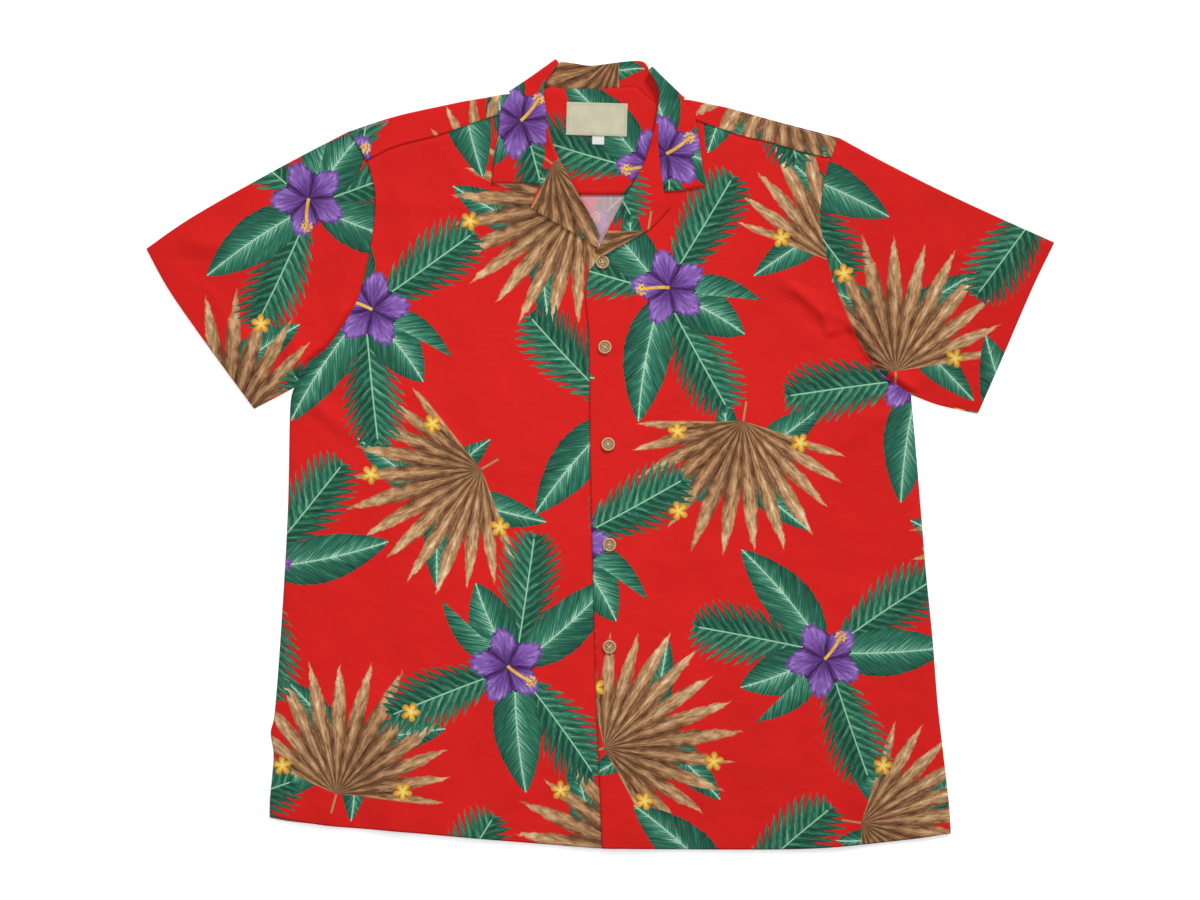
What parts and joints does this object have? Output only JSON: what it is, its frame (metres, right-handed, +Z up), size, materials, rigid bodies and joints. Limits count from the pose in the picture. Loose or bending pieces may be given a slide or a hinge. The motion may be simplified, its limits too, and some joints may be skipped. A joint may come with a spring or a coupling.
{
  "type": "hawaiian shirt",
  "caption": "Short-sleeved hawaiian shirt with an open camp collar, buttoned and laid flat on its back, front up.",
  "frame": {"origin": "bottom centre of the shirt's box, on the surface that it lies on, below the placket at chest height", "axes": "+X towards the wearer's left sleeve, +Y from the hem towards the collar, +Z up out of the shirt's front"},
  "size_m": [0.9076, 0.7896, 0.0124],
  "materials": {
    "printed_cloth": "matte",
    "woven_label": "matte",
    "size_tab": "matte",
    "button": "satin"
  },
  "bodies": {
    "root": {"back": "printed_cloth", "yoke": "printed_cloth", "yoke_lining": "printed_cloth", "front_right": "printed_cloth", "front_left": "printed_cloth", "lapel_right": "printed_cloth", "lapel_left": "printed_cloth", "collar": "printed_cloth", "sleeve_right": "printed_cloth", "sleeve_left": "printed_cloth", "label": "woven_label", "size_tab": "size_tab", "button_1": "button", "button_2": "button", "button_3": "button", "button_4": "button", "button_5": "button"}
  },
  "joints": []
}
